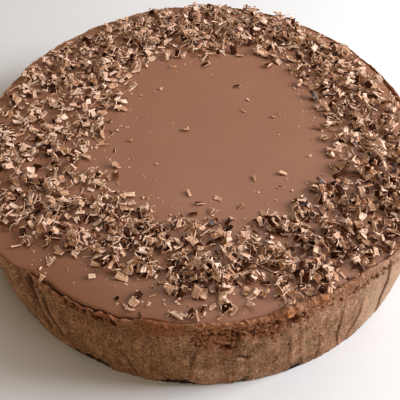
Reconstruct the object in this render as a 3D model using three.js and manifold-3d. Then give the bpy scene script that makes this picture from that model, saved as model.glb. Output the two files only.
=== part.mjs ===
// A round chocolate cheesecake: a thin dark crumb base, a baked filling with a creased wall and
// a torn rim, and a poured ganache top strewn with a ring of shaved chocolate flakes.
import * as THREE from "three";
import { mergeVertices } from "three/addons/utils/BufferGeometryUtils.js";
import Module from "manifold-3d";

const wasm = await Module();
wasm.setup();

// Driving dimensions, in millimetres. Directions are in degrees, anticlockwise from +X.
const BASE_RADIUS = 119;
const TOP_RADIUS = 113;
const HEIGHT = 47.7; // level of the ganache over the middle of the cake
const GAP = 0.3; // between touching layers
const COLUMNS = 144; // steps round the cake

// The chilled cake has slumped a little: its top has moved sideways and stands higher at +X.
const TOP_SHIFT = -3.9;
const TOP_SLOPE = 0.026;

// Crumb base, whose edge shows only in patches where the filling did not run down over it.
const CRUMB_THICKNESS = 3.4;
const CRUMB_INSET = 0.3;
const CRUMB_EDGE_LOW = 0.8;
const CRUMB_SLOPE = 9; // how far in from the wall the base keeps its full thickness
const CRUMB_PATCH_SPREAD = 9;
const CRUMB_CLEARANCE = 1.4; // below the filling, away from the wall
// Direction of each patch and how high the crumb stands there.
const CRUMB_PATCHES = [
  [213, 2.6],
  [243.5, 6],
  [265.5, 6],
  [279, 4.5],
  [292, 6],
  [314, 2.4],
  [340, 3.4],
  [8, 3.6],
  [37, 3],
  [61, 4],
  [96, 3],
  [118, 4.4],
  [152, 3.4],
  [177, 3],
  [196, 4],
];

// Wall of the filling.
const WALL_SHARES = [0, 0.12, 0.28, 0.44, 0.6, 0.74, 0.87, 1];
const WALL_SHOULDER = 1.6; // the wall ends this far below the rim's crest
const WALL_BULGE = 0.9;

// Creases in the wall: direction at mid height, depth, lower and upper end as shares of the wall,
// and how far the crease leans over the whole height.
const CREASE_SPREAD = 2.6;
const CREASES = [
  { at: 217, deep: 0.9, foot: 0.1, head: 0.9, lean: -2 },
  { at: 230.4, deep: 3.2, foot: 0.15, head: 0.95, lean: -6 },
  { at: 238.4, deep: 1, foot: 0.2, head: 0.75, lean: -6 },
  { at: 253, deep: 1.2, foot: 0, head: 0.5, lean: -3 },
  { at: 269, deep: 1, foot: 0.15, head: 0.65, lean: 4.5 },
  { at: 278.5, deep: 1.4, foot: 0.62, head: 0.93, lean: 0 },
  { at: 289.8, deep: 0.7, foot: 0, head: 0.6, lean: -1.5 },
  { at: 297.1, deep: 0.6, foot: 0, head: 0.5, lean: 1 },
  { at: 303, deep: 0.9, foot: 0, head: 0.65, lean: 1 },
  { at: 308.6, deep: 0.7, foot: 0, head: 0.6, lean: 5 },
  { at: 316.2, deep: 2.4, foot: 0, head: 0.97, lean: 0.6 },
];
const BACK_CREASES = 14;
const BACK_START = 337;
const BACK_SPAN = 225;
const BACK_STAGGER = 0.6;
const BACK_DEPTH = [0.8, 1.8];
const BACK_HEAD = [0.6, 0.95];
const BACK_LEAN = [-5, 5];

// Rim of the filling: direction, how far it stands out of round, rise over the ganache and breadth.
// It is low and narrow where the ganache has run out to the wall, and elsewhere torn, broad and
// proud. Its sides bulge, so the wall below them stands almost upright.
const RIM = [
  [0, 2, 1.2, 2.2],
  [18, 0.6, 0.4, 1.6],
  [45, -1, -0.2, 1.3],
  [75, 0, -0.2, 1.3],
  [100, 0.5, -0.3, 1.5],
  [125, -0.6, -0.3, 1.6],
  [150, 0.4, -0.2, 1.5],
  [175, 1.4, -0.5, 1.2],
  [200, 2.8, -1.2, 0.9],
  [220, 3.8, -1.8, 0.8],
  [225, 2.6, -1.9, 0.8],
  [229.5, -1, -2, 0.8],
  [237, -0.9, -2, 0.8],
  [250, -0.6, -1.6, 0.8],
  [260, -0.4, -0.5, 2],
  [268, 0, 0, 1.6],
  [278, 0.7, 0.3, 1.8],
  [285, 1.6, 1, 2],
  [290, 2.2, 2, 3.4],
  [297, 2.4, 1.7, 2.6],
  [306, 2.8, 1, 2.2],
  [311, 4, 1.2, 2.2],
  [316, 6.8, 1.3, 2.2],
  [321, 8.2, 1.4, 2.2],
  [333, 8, 1.6, 2.4],
  [346, 5, 1.4, 2.4],
];
const RIM_BULGE = 1; // columns of the rim's table
const RIM_RISE = 2;
const RIM_BREADTH = 3;
const RIM_ROWS = [
  { across: 0.25, drop: 0.4 },
  { across: 0.6, drop: 0 },
  { across: 1, drop: 0.5 },
];
const CRAGS = [
  { count: 17, size: 0.3, turn: 40 },
  { count: 29, size: 0.2, turn: 0 },
];

// Ganache, which sinks a little towards its edge, and more where it has run out over the low rim.
const GANACHE_DEPTH = 3.6;
const GANACHE_ROUND = 1.2;
const GANACHE_ROUND_MIDDLE = 0.3; // share of the round that its middle row lies in from the edge
const DROOP = [0.4, 1.8];
const DROOP_FROM = 0.85; // share of the radius at which it begins
const RUN_OUT_DIRECTION = 236;
const RUN_OUT_SPREAD = 60;

// Ring of flakes: its inner edge as direction and radius, and its outer edge as a share of the rim's
// radius, less where it leaves a bare crescent.
const RING_INNER = [
  [0, 69],
  [27, 67],
  [49, 75],
  [69, 67],
  [86, 61],
  [106, 65],
  [118, 63],
  [130, 52],
  [151, 43],
  [178, 41],
  [200, 57],
  [218, 49],
  [240, 54],
  [270, 60],
  [309, 66],
  [335, 72],
];
const RING_RADIUS = 1; // column of the ring's table
const RING_OUTER = 0.97;
const CRESCENT = 0.13;
const CRESCENT_DIRECTION = 248;
const CRESCENT_SPREAD = 30;

// Shaved flakes: only the largest, each a chip with its low end set into the ganache. Every third
// one is curled. They follow one another round the cake by the golden angle, from the ring's inner
// edge to its outer edge.
const FLAKES = 262;
const FLAKES_PER_CURL = 3;
const GOLDEN_ANGLE = 137.508;
const FLAKE_JITTER = 3;
const FLAKE_LENGTH = [4, 6.8];
const FLAKE_WIDTH = [2, 3.8];
const FLAKE_THICKNESS = 0.7;
const FLAKE_CURL = 0.9;
const FLAKE_PITCH = [8, 38];
const FLAKE_ROLL = 14;
const FLAKE_SINK = 0.7;
const FLAKE_EDGE_MARGIN = 1;

const { clamp, degToRad, euclideanModulo, lerp } = THREE.MathUtils;
const cosine = (degrees) => Math.cos(degToRad(degrees));
const sine = (degrees) => Math.sin(degToRad(degrees));
const turnBetween = (a, b) => Math.abs(euclideanModulo(a - b + 180, 360) - 180);
const peak = (degrees, at, spread) => Math.max(0, 1 - turnBetween(degrees, at) / spread);

// An evenly spread share from 0 to 1 for the item of that number, one series for each factor.
const share = (number, factor) => euclideanModulo((number + 1) * factor, 1);

const creases = [...CREASES];
for (let number = 0; number < BACK_CREASES; number++) {
  creases.push({
    at: BACK_START + ((number + BACK_STAGGER * share(number, Math.SQRT2)) * BACK_SPAN) / BACK_CREASES,
    deep: lerp(...BACK_DEPTH, share(number, Math.sqrt(3))),
    foot: 0,
    head: lerp(...BACK_HEAD, share(number, Math.sqrt(5))),
    lean: lerp(...BACK_LEAN, share(number, Math.sqrt(7))),
  });
}

// Depth of the creases at a direction and a share of the wall's height.
function creaseDepth(degrees, rise) {
  let depth = 0;
  for (const { at, deep, foot, head, lean } of creases) {
    if (rise < foot || rise > head) continue;
    depth = Math.max(depth, deep * peak(degrees, at + lean * (rise - 0.5), CREASE_SPREAD));
  }
  return depth;
}

// One column of a table at any direction, even between the directions that the table lists.
function along(table, degrees, column) {
  const next = table.findIndex(([at]) => at > degrees);
  const [before, after] = next < 0 ? [table.at(-1), table[0]] : [table[next - 1], table[next]];
  const span = euclideanModulo(after[0] - before[0], 360);
  return lerp(before[column], after[column], (degrees - before[0]) / span);
}

function rimRadius(degrees) {
  return TOP_RADIUS + along(RIM, degrees, RIM_BULGE);
}

function rimLevel(degrees) {
  const crags = CRAGS.map(({ count, size, turn }) => size * cosine(count * degrees + turn));
  return HEIGHT + along(RIM, degrees, RIM_RISE) + crags.reduce((sum, crag) => sum + crag);
}

// Radius of the wall at a direction and a share of its height.
function wallRadius(degrees, rise) {
  const straight = lerp(BASE_RADIUS, rimRadius(degrees), rise);
  return straight + WALL_BULGE * Math.sin(Math.PI * rise) - creaseDepth(degrees, rise);
}

function recessRadius(degrees) {
  return rimRadius(degrees) - along(RIM, degrees, RIM_BREADTH);
}

// How far the ganache's top has sunk at a direction and radius.
function droop(degrees, radius) {
  const towardsEdge = (radius / recessRadius(degrees) - DROOP_FROM) / (1 - DROOP_FROM);
  const runOut = peak(degrees, RUN_OUT_DIRECTION, RUN_OUT_SPREAD);
  return lerp(...DROOP, runOut) * clamp(towardsEdge, 0, 1);
}

// Level of the crumb base's top at the wall, higher in the patches where its edge shows.
function crumbEdge(degrees) {
  const heights = CRUMB_PATCHES.map(([at, high]) =>
    lerp(CRUMB_EDGE_LOW, high, peak(degrees, at, CRUMB_PATCH_SPREAD)),
  );
  return Math.max(...heights);
}

// Outer edge of the ring of flakes.
function ringOuter(degrees) {
  const off = turnBetween(degrees, CRESCENT_DIRECTION) / CRESCENT_SPREAD;
  return rimRadius(degrees) * (RING_OUTER - CRESCENT * Math.exp(-off * off));
}

// A closed geometry that holds only shared points.
function closed(geometry) {
  geometry.deleteAttribute("normal");
  geometry.deleteAttribute("uv");
  return mergeVertices(geometry, 1e-4);
}

// A lathe whose rows may wander round the cake: each row gives its radius and height at a direction.
function turned(rows) {
  const profile = rows.map((row) => new THREE.Vector2(...row(0)));
  const geometry = new THREE.LatheGeometry(profile, COLUMNS);
  const position = geometry.getAttribute("position");
  for (let column = 0; column <= COLUMNS; column++) {
    const degrees = (360 * (column % COLUMNS)) / COLUMNS;
    rows.forEach((row, level) => {
      const [radius, height] = row(degrees);
      const point = column * rows.length + level;
      position.setXYZ(point, radius * cosine(degrees), radius * sine(degrees), height);
    });
  }
  return closed(geometry);
}

const solidOf = (geometry) =>
  new wasm.Manifold(
    new wasm.Mesh({
      numProp: 3,
      vertProperties: geometry.getAttribute("position").array,
      triVerts: new Uint32Array(geometry.index.array),
    }),
  );

function geometryOf(solid) {
  const mesh = solid.getMesh();
  return new THREE.BufferGeometry()
    .setAttribute("position", new THREE.BufferAttribute(mesh.vertProperties, 3))
    .setIndex(new THREE.BufferAttribute(mesh.triVerts, 1));
}

// Moves the points of an upright layer as the cake has slumped, more the higher they are.
function slumped(geometry) {
  const position = geometry.getAttribute("position");
  for (let point = 0; point < position.count; point++) {
    const rise = position.getZ(point) / HEIGHT;
    const x = position.getX(point) + TOP_SHIFT * rise;
    position.setX(point, x);
    position.setZ(point, position.getZ(point) + TOP_SLOPE * x * rise);
  }
  return geometry;
}

function crumbBase() {
  const foot = (degrees) => wallRadius(degrees, 0) - CRUMB_INSET;
  return turned([
    () => [0, 0],
    (degrees) => [foot(degrees), 0],
    (degrees) => [foot(degrees), crumbEdge(degrees)],
    () => [BASE_RADIUS - CRUMB_SLOPE, CRUMB_THICKNESS],
    () => [0, CRUMB_THICKNESS],
  ]);
}

function cheesecake() {
  const wallRow = (rise) => (degrees) => {
    const foot = crumbEdge(degrees) + GAP;
    const shoulder = rimLevel(degrees) - WALL_SHOULDER;
    return [wallRadius(degrees, rise), lerp(foot, shoulder, rise)];
  };
  const rimRow = ({ across, drop }) => (degrees) => {
    const outer = wallRadius(degrees, 1);
    return [lerp(outer, recessRadius(degrees), across), rimLevel(degrees) - drop];
  };
  const recessFloor = HEIGHT - GANACHE_DEPTH;
  return turned([
    () => [0, CRUMB_THICKNESS + CRUMB_CLEARANCE],
    () => [BASE_RADIUS - CRUMB_SLOPE, CRUMB_THICKNESS + CRUMB_CLEARANCE],
    ...WALL_SHARES.map(wallRow),
    ...RIM_ROWS.map(rimRow),
    (degrees) => [recessRadius(degrees), recessFloor],
    () => [0, recessFloor],
  ]);
}

function pouredGanache() {
  const edge = (degrees) => recessRadius(degrees) - GAP;
  const underside = HEIGHT - GANACHE_DEPTH + GAP;
  const topRow = (inset, drop) => (degrees) => {
    const radius = edge(degrees) - inset;
    return [radius, HEIGHT - drop - droop(degrees, radius)];
  };
  const middle = GANACHE_ROUND_MIDDLE * GANACHE_ROUND;
  return turned([
    () => [0, underside],
    (degrees) => [edge(degrees), underside],
    topRow(0, GANACHE_ROUND),
    topRow(middle, middle),
    topRow(GANACHE_ROUND, 0),
    (degrees) => [DROOP_FROM * recessRadius(degrees), HEIGHT],
    () => [0, HEIGHT],
  ]);
}

// A chip shaved off a block, flat or curled along its length, with its low end set into the ganache.
function flake(number) {
  const length = lerp(...FLAKE_LENGTH, share(number, Math.SQRT2));
  const width = lerp(...FLAKE_WIDTH, share(number, Math.sqrt(3)));
  const steps = number % FLAKES_PER_CURL === 0 ? 2 : 1;
  const geometry = closed(new THREE.BoxGeometry(length, width, FLAKE_THICKNESS, steps));
  const position = geometry.getAttribute("position");
  for (let point = 0; point < position.count; point++) {
    const along = (2 * position.getX(point)) / length;
    position.setZ(point, position.getZ(point) + FLAKE_CURL * along * along);
  }
  geometry.rotateX(degToRad(lerp(-FLAKE_ROLL, FLAKE_ROLL, share(number, Math.sqrt(5)))));
  geometry.rotateY(degToRad(lerp(...FLAKE_PITCH, share(number, Math.sqrt(7)))));
  geometry.rotateZ(degToRad(360 * share(number, Math.sqrt(11))));
  const jitter = lerp(-FLAKE_JITTER, FLAKE_JITTER, share(number, Math.sqrt(13)));
  const degrees = euclideanModulo(number * GOLDEN_ANGLE + jitter, 360);
  const reach = recessRadius(degrees) - GAP - GANACHE_ROUND - FLAKE_EDGE_MARGIN - length / 2;
  const outer = Math.min(ringOuter(degrees), reach);
  const across = (number + share(number, Math.sqrt(17))) / FLAKES;
  const inner = along(RING_INNER, degrees, RING_RADIUS);
  const radius = Math.sqrt(lerp(inner ** 2, outer ** 2, across));
  geometry.computeBoundingBox();
  const level = HEIGHT - droop(degrees, radius) - FLAKE_SINK - geometry.boundingBox.min.z;
  return geometry.translate(radius * cosine(degrees), radius * sine(degrees), level);
}

// The ganache with its flakes fused on, without any scrap or sealed hollow that fusing leaves.
function toppedGanache() {
  let topped = solidOf(pouredGanache());
  for (let number = 0; number < FLAKES; number++) {
    topped = topped.add(solidOf(flake(number)));
  }
  const bodies = topped.decompose().sort((a, b) => b.volume() - a.volume());
  return geometryOf(bodies[0]);
}

function layer(name, geometry, color, roughness) {
  const material = new THREE.MeshStandardMaterial({ color, roughness, metalness: 0, flatShading: true });
  const mesh = new THREE.Mesh(slumped(geometry), material);
  mesh.name = name;
  return mesh;
}

const cake = new THREE.Group();
cake.add(layer("crumb_base", crumbBase(), 0x1e1613, 0.95));
cake.add(layer("cheesecake", cheesecake(), 0x785541, 0.9));
cake.add(layer("ganache", toppedGanache(), 0x8c604d, 0.45));

export default cake;
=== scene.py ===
import math

import bpy
import numpy as np
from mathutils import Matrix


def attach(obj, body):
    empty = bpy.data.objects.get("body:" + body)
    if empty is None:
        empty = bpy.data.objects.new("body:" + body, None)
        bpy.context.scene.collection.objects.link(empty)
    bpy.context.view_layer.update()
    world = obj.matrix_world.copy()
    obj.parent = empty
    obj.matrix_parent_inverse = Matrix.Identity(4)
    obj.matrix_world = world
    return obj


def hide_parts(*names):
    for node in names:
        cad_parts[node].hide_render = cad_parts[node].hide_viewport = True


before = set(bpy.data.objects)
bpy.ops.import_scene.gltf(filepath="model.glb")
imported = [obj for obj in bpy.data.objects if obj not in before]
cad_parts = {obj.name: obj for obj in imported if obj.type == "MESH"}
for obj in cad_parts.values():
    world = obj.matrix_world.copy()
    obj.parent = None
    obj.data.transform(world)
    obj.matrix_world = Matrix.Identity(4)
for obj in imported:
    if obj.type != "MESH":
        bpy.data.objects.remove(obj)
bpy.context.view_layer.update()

# Crumb base
# A thin bed of near-black biscuit crumbs and butter, pressed flat into the tin. The filling has run
# down over most of its edge, so it shows only as ragged dark patches along the foot of the cake.
MM = 0.001
CAKE_HEIGHT = 47.7 * MM
FOOT_RADIUS = 119 * MM
TOP_RADIUS = 113 * MM
TOP_SHIFT = -3.9 * MM
TOP_SLOPE = 0.026
CRUMB_THICKNESS = 3.4 * MM
CRUMB_INSET = 0.7 * MM
CRUMB_EDGE_LOW = 0.35 * MM
CRUMB_SLOPE = 9 * MM
# Direction, height in millimetres and half breadth in degrees of each patch where the crumb shows.
CRUMB_PATCHES = [
    (213, 2.6, 6), (243.5, 9, 6), (264.8, 7.5, 6), (267.6, 9.5, 1.4), (278.5, 5.5, 1.8), (291, 6, 1.8),
    (293, 15, 0.8), (312, 2, 4), (340, 3.4, 7), (8, 3.6, 8), (37, 3, 6), (61, 4, 8), (96, 3, 7),
    (118, 4.4, 5), (152, 3.4, 9), (177, 3, 6), (196, 4, 5),
]
CRUMB_COLUMNS = 1200
CRUMB_ROWS = 6
CRUMB_BLACK = (0.012, 0.006, 0.003, 1)
CRUMB_BROWN = (0.045, 0.024, 0.012, 1)


def cosine(degrees):
    return np.cos(np.radians(degrees))


def sine(degrees):
    return np.sin(np.radians(degrees))


def blend(low, high, share):
    return low + (high - low) * share


def smooth_step(value, low, high):
    share = np.clip((value - low) / (high - low), 0, 1)
    return share * share * (3 - 2 * share)


def polar(x, y):
    """The direction of each place from the middle, and how far out it is."""
    return np.degrees(np.arctan2(y, x)) % 360, np.hypot(x, y)


def turn_between(a, b):
    """The turn from one direction to another, from 0 to 180 degrees."""
    return np.abs((a - b + 180) % 360 - 180)


def peak(degrees, at, spread):
    """1 in one direction, falling to 0 at the spread."""
    return np.maximum(0, 1 - turn_between(degrees, at) / spread)


def uneven_line(degrees, *counts):
    """An uneven line round the cake, from about -1 to 1."""
    return sum(cosine(count * degrees + 40 * count) for count in counts) / math.sqrt(2 * len(counts))


def crumb_edge(degrees):
    shown = np.max([high * MM * smooth_step(peak(degrees, at, broad), 0, 0.7)
                    for at, high, broad in CRUMB_PATCHES], axis=0)
    return CRUMB_EDGE_LOW + shown * np.clip(0.7 + 0.4 * uneven_line(degrees, 67, 113, 181), 0.15, 1.2)


def add_drum(name, columns, radius, height):
    """A drum that stands on the floor and is the only thing selected."""
    bpy.ops.object.select_all(action="DESELECT")
    bpy.ops.mesh.primitive_cylinder_add(vertices=columns, radius=radius, depth=height)
    bpy.ops.transform.translate(value=(0, 0, height / 2))
    bpy.ops.object.transform_apply(location=True, rotation=True, scale=True)
    piece = bpy.context.active_object
    piece.name = name
    piece.data.name = name
    return piece


def points_of(piece):
    flat = np.empty(len(piece.data.vertices) * 3)
    piece.data.vertices.foreach_get("co", flat)
    return flat.reshape(-1, 3)


def move_points(piece, points):
    piece.data.vertices.foreach_set("co", points.ravel())
    piece.data.update()


def select_upright_edges(piece):
    bpy.ops.object.mode_set(mode="EDIT")
    bpy.ops.mesh.select_mode(type="EDGE")
    bpy.ops.mesh.select_all(action="DESELECT")
    bpy.ops.object.mode_set(mode="OBJECT")
    ends = np.empty(len(piece.data.edges) * 2, dtype=np.int32)
    piece.data.edges.foreach_get("vertices", ends)
    heights = points_of(piece)[ends.reshape(-1, 2), 2]
    upright = np.ptp(heights, axis=1) > 0.5 * MM
    piece.data.edges.foreach_set("select", upright)
    bpy.ops.object.mode_set(mode="EDIT")


def select_top_face(piece):
    bpy.ops.mesh.select_mode(type="FACE")
    bpy.ops.mesh.select_all(action="DESELECT")
    bpy.ops.object.mode_set(mode="OBJECT")
    top = max(piece.data.polygons, key=lambda face: face.center.z + face.normal.z)
    top.select = True
    bpy.ops.object.mode_set(mode="EDIT")


def slump(points):
    """The chilled cake has slumped: its top has moved sideways and stands higher at one side."""
    rise = points[:, 2] / CAKE_HEIGHT
    x = points[:, 0] + TOP_SHIFT * rise
    return np.column_stack([x, points[:, 1], points[:, 2] + TOP_SLOPE * x * rise])


def roughen(piece, grain, depth, group="", level=0.5):
    """Pushes the surface in and out by a cloudy texture of that grain."""
    texture = bpy.data.textures.new(f"{piece.name}_relief", type="CLOUDS")
    texture.noise_scale = grain
    modifier = piece.modifiers.new("roughen", "DISPLACE")
    modifier.texture = texture
    modifier.texture_coords = "LOCAL"
    modifier.strength = depth
    modifier.mid_level = level
    modifier.vertex_group = group
    bpy.context.view_layer.objects.active = piece
    bpy.ops.object.modifier_apply(modifier=modifier.name)


def new_material(name):
    material = bpy.data.materials.new(name)
    material.use_nodes = True
    shader = material.node_tree.nodes["Principled BSDF"]
    return material, material.node_tree, shader


def feed(tree, node, inputs):
    """Links each of those inputs of a node to another node's output, or sets its value."""
    for key, value in inputs.items():
        if isinstance(value, bpy.types.NodeSocket):
            tree.links.new(value, node.inputs[key])
        else:
            node.inputs[key].default_value = value


def add_node(tree, kind, inputs=None, **settings):
    node = tree.nodes.new(kind)
    for key, value in settings.items():
        setattr(node, key, value)
    feed(tree, node, inputs or {})
    return node


def own_place(tree):
    return add_node(tree, "ShaderNodeTexCoord").outputs["Object"]


def add_noise(tree, place, scale, detail=2, roughness=0.5):
    inputs = {"Vector": place, "Scale": scale, "Detail": detail, "Roughness": roughness}
    return add_node(tree, "ShaderNodeTexNoise", inputs).outputs["Fac"]


def add_bump(tree, height, distance, strength, below=None):
    bump = add_node(tree, "ShaderNodeBump", {"Strength": strength, "Distance": distance, "Height": height})
    if below is not None:
        feed(tree, bump, {"Normal": below})
    return bump.outputs["Normal"]


def mix_colour(tree, share, low, high, blend_type="MIX"):
    inputs = {0: share, 6: low, 7: high}
    return add_node(tree, "ShaderNodeMix", inputs, data_type="RGBA", blend_type=blend_type).outputs[2]


def new_group(name, **inputs):
    """A node group that puts out a colour and a height, what it is given, and the node at its end."""
    group = bpy.data.node_groups.new(name, "ShaderNodeTree")
    for key, value in inputs.items():
        kind = "NodeSocketColor" if isinstance(value, tuple) else "NodeSocketFloat"
        socket = group.interface.new_socket(key, in_out="INPUT", socket_type=kind)
        socket.default_value = value
    group.interface.new_socket("Colour", in_out="OUTPUT", socket_type="NodeSocketColor")
    group.interface.new_socket("Height", in_out="OUTPUT", socket_type="NodeSocketFloat")
    return group, add_node(group, "NodeGroupInput").outputs, add_node(group, "NodeGroupOutput")


def place_group(tree, group, **values):
    """Puts a node group in a material with its own values, and gives its results."""
    return add_node(tree, "ShaderNodeGroup", values, node_tree=group).outputs


def make_cloudy():
    """A cloudy pattern over the surface: its height, and the change from dark to pale that it makes."""
    group, given, end = new_group("cloudy", Scale=100, Detail=3, Roughness=0.5, From=0.35, To=0.65,
                                  Dark=CRUMB_BLACK, Pale=CRUMB_BROWN)
    height = add_noise(group, own_place(group), given["Scale"], given["Detail"], given["Roughness"])
    limits = {"Value": height, "From Min": given["From"], "From Max": given["To"]}
    share = add_node(group, "ShaderNodeMapRange", limits).outputs["Result"]
    colour = mix_colour(group, share, given["Dark"], given["Pale"])
    feed(group, end, {"Colour": colour, "Height": height})
    return group


def finish_material(tree, shader, colour, normal, roughness, specular):
    feed(tree, shader, {"Base Color": colour, "Normal": normal, "Roughness": roughness,
                        "Specular IOR Level": specular})


crumb_base = add_drum("crumb_base_bed", CRUMB_COLUMNS, FOOT_RADIUS, CRUMB_THICKNESS)
select_upright_edges(crumb_base)
bpy.ops.mesh.subdivide(number_cuts=CRUMB_ROWS - 1)
select_top_face(crumb_base)
bpy.ops.mesh.inset(thickness=CRUMB_SLOPE)
bpy.ops.object.mode_set(mode="OBJECT")
points = points_of(crumb_base)
around, reach = polar(*points.T[:2])
at_edge = reach > FOOT_RADIUS - CRUMB_SLOPE / 2
share = points[:, 2] / CRUMB_THICKNESS
points[:, 2] = np.where(at_edge, share * crumb_edge(around), points[:, 2])
points[:, :2] *= np.where(at_edge, 1 - CRUMB_INSET / FOOT_RADIUS, 1)[:, None]
move_points(crumb_base, points)
roughen(crumb_base, grain=1.1 * MM, depth=2 * MM, level=0.35)
points = points_of(crumb_base)
points[:, 2] = np.where(share < 0.01, 0, np.maximum(points[:, 2], 0))
move_points(crumb_base, slump(points))

cloudy = make_cloudy()
crumb_material, tree, shader = new_material("pressed_crumb")
crumb_tone = place_group(tree, cloudy, Scale=900, Detail=4, To=0.7, Dark=CRUMB_BLACK, Pale=CRUMB_BROWN)
grain = place_group(tree, cloudy, Scale=1400, Detail=4)["Height"]
crumb_relief = add_bump(tree, grain, distance=0.8 * MM, strength=0.8)
finish_material(tree, shader, crumb_tone["Colour"], crumb_relief, roughness=0.75, specular=0.12)
crumb_base.data.materials.append(crumb_material)
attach(crumb_base, "root")
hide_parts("crumb_base")

# Cheesecake
# The baked chocolate filling, dense and finely pored. Its wall kept the creases of the lining paper,
# and its rim tore where the tin came away: a reddish skin, bubbles laid open and a ragged crest.
WALL_COLUMNS = 1560
WALL_ROWS = 52
WALL_BULGE = 0.9 * MM
WALL_SHOULDER = 1.6 * MM
WALL_GAP = 0.1 * MM
RIM_INSET = 4 * MM
RIM_RINGS = 8
CRAG = 0.5 * MM
GANACHE_DEPTH = 3.6 * MM
FOLD_BEGIN = 1.2 * MM
FOLD_WIDTH = 5 * MM
GROOVE_SHARE = 0.7
CREASE_ENDS = 0.12
# Depths in millimetres at which the painted shade of a crease and of a hole is full, and a pit's depth for
# its half breadth.
CREASE_DARK = 3
HOLE_DARK = 1.6
PIT_DEPTH = 1.1
ROW_CLOSENESS = 1.4
FRONT = (212, 332)
FRONT_CLOSENESS = 1.2
CREASE_CLOSENESS = 2
CREASE_SPREAD = 1.6
# Direction, then how far the rim stands out of round, its rise over the ganache and its breadth, in
# millimetres.
RIM = [
    (0, 2, 1.2, 2.2), (18, 0.6, 0.4, 1.6), (45, -1, -0.2, 1.3), (75, 0, -0.2, 1.3), (100, 0.5, -0.3, 1.5),
    (125, -0.6, -0.3, 1.6), (150, 0.4, -0.2, 1.5), (175, 1.4, -0.5, 1.2), (200, 2.8, -1.2, 0.9),
    (220, 3.8, -1.8, 0.8), (225, 2.6, -1.9, 0.8), (229.5, -1, -2, 0.8), (237, -0.9, -2, 0.8),
    (250, -0.6, -1.6, 0.8), (260, -0.4, -0.5, 2), (268, 0, 0, 1.6), (278, 0.7, 0.3, 1.8), (285, 1.6, 1, 2),
    (290, 2.2, 2, 3.4), (297, 2.4, 1.7, 2.6), (306, 2.8, 1, 2.2), (311, 4, 1.2, 2.2), (316, 6.8, 1.3, 2.2),
    (321, 8.2, 1.4, 2.2), (333, 8, 1.6, 2.4), (346, 5, 1.4, 2.4),
]
RIM_BULGE = 1
RIM_RISE = 2
RIM_BREADTH = 3
# Direction at mid height, depth, half breadth, foot and head as shares of the wall, lean over the
# height, and how far one side stands proud as a share of the depth. Sizes are in millimetres.
CREASES = [
    (217, 0.9, 0.6, 0.1, 0.9, -2, 0.4), (228.2, 1.9, 1.4, 0.25, 0.96, -6, 0),
    (230.4, 4.4, 2, 0.15, 0.95, -6, -0.25), (233.8, 2.2, 0.9, 0.2, 0.92, -6, -0.5),
    (238.4, 1.1, 0.7, 0.2, 0.75, -6, 0.4), (253, 1.4, 0.6, 0, 0.5, -3, -0.5),
    (269, 1.3, 0.6, 0.15, 0.65, 4.5, 0.5), (278.5, 1.8, 0.8, 0.62, 0.93, 0, 0.4),
    (289.8, 0.7, 0.5, 0, 0.6, -1.5, 0.5), (297.1, 0.6, 0.5, 0, 0.5, 1, 0.5),
    (303, 0.9, 0.5, 0, 0.65, 1, 0.5), (308.6, 0.7, 0.5, 0, 0.6, 5, 0.5), (316.2, 3, 0.7, 0, 0.97, 0.6, 0.1),
]
# The creases round the back: how many, from where and how far round, then the limits of the same sizes,
# each spread by its own prime.
BACK_CREASES = 14
BACK_START = 337
BACK_SPAN = 225
BACK_SCATTER = 0.6
BACK_SIZES = [((0.5, 1.3), 3), ((0.7, 0.7), 2), ((-0.1, 0.2), 11), ((0.35, 0.9), 5), ((-5, 5), 7)]
BACK_PROUD = 0.4
# Direction, spread, strength and reach down the wall of the tears under the rim.
TEARS = [
    (243, 15, 0.5, 0.12), (275, 7, 1, 0.36), (283, 8, 1, 0.26), (294, 9, 0.75, 0.22), (306, 10, 0.45, 0.18),
    (318, 10, 0.35, 0.12), (335, 14, 0.7, 0.14), (12, 22, 0.6, 0.2), (62, 14, 0.8, 0.26),
    (104, 20, 0.5, 0.18), (146, 15, 0.9, 0.3), (187, 13, 0.5, 0.18),
]
# Direction and rise of the holes and slits, then half width, half height and depth in millimetres.
HOLES = [
    (276.2, 0.7, 2, 1.6, 2.4), (279.5, 0.49, 2.4, 1, 2.4), (286.6, 0.36, 0.7, 0.7, 1.2),
    (312.6, 0.9, 0.9, 0.8, 1.4), (314.6, 0.93, 1.1, 0.9, 1.6), (290.8, 0.88, 3, 1.8, 1.6),
    (260.1, 0.65, 0.7, 0.6, 1), (264.3, 0.7, 0.6, 0.5, 1), (245.5, 0.59, 0.7, 0.6, 1),
    (255.4, 0.42, 0.6, 0.5, 0.8), (286.5, 0.3, 0.8, 0.4, 0.8), (41, 0.55, 1.6, 0.6, 1.4),
    (88, 0.4, 0.7, 0.6, 1), (133, 0.62, 0.8, 0.7, 1), (171, 0.35, 1.8, 0.6, 1.4),
]
# Direction, half breadth in degrees and rise of the dark gaps under the ganache's torn lip.
LIP_GAPS = [
    (235.6, 0.6, 0.95), (240, 0.8, 0.94), (242, 0.7, 0.95),
    (244.8, 0.9, 0.95), (248.2, 2.1, 0.91), (252, 1, 0.9),
]
# Count round the cake, drift as they climb, and size in millimetres of the lining paper's wrinkles.
WRINKLES = [(31, 1.3, 0.22), (47, -2.1, 0.18), (73, 1.7, 0.15), (118, -2.6, 0.1), (163, 3.1, 0.08)]
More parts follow.
